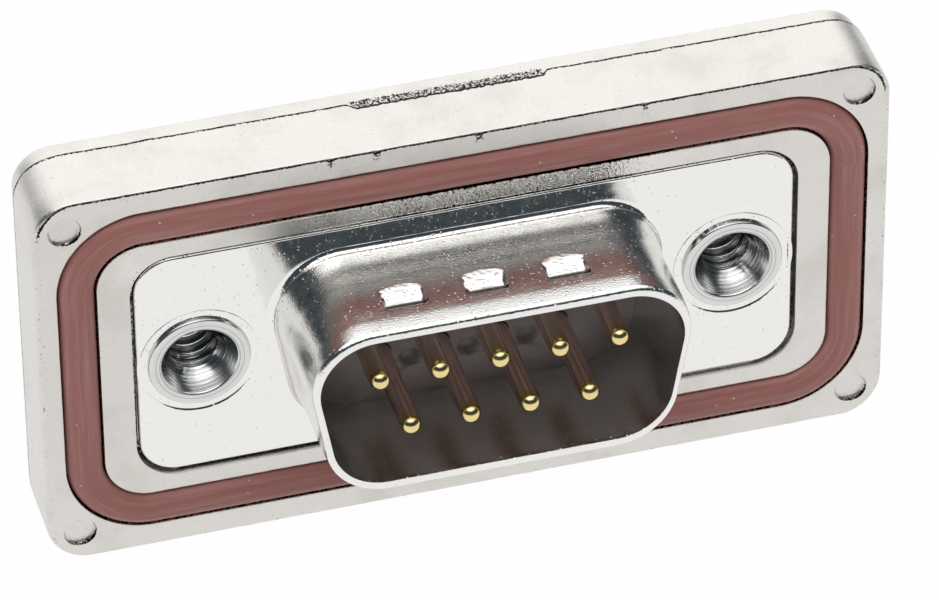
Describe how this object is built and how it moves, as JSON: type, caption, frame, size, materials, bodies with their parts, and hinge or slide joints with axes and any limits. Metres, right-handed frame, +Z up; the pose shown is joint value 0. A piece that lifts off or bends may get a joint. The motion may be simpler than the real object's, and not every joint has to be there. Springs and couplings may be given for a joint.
{
  "type": "sealed d-sub panel connector",
  "caption": "Sealed panel connector: D-shaped shell with pins on a gasketed die-cast frame, threaded inserts beside it and solder cups behind.",
  "frame": {"origin": "middle of the sealing face, half way between the two screw axes", "axes": "+X along the long side, +Z up towards the side with five pins, mating towards -Y"},
  "size_m": [0.0398, 0.0164, 0.0202],
  "materials": {
    "zinc_casting": "satin nickel on a zinc casting",
    "silicone": "matte",
    "plated_steel": "bright plate on drawn steel",
    "insulator": "moulded",
    "contact_gold": "gold plate on turned brass",
    "insert_steel": "bright zinc plate on turned steel",
    "compound": "cast epoxy"
  },
  "bodies": {
    "root": {"contact_1": "contact_gold", "contact_2": "contact_gold", "contact_3": "contact_gold", "contact_4": "contact_gold", "contact_5": "contact_gold", "contact_6": "contact_gold", "contact_7": "contact_gold", "contact_8": "contact_gold", "contact_9": "contact_gold", "frame": "zinc_casting", "front_insulator": "insulator", "front_shell": "plated_steel", "gasket": "silicone", "insert_left": "insert_steel", "insert_right": "insert_steel", "rear_insulator": "insulator", "rear_shell": "plated_steel", "sealing_compound": "compound"}
  },
  "joints": []
}
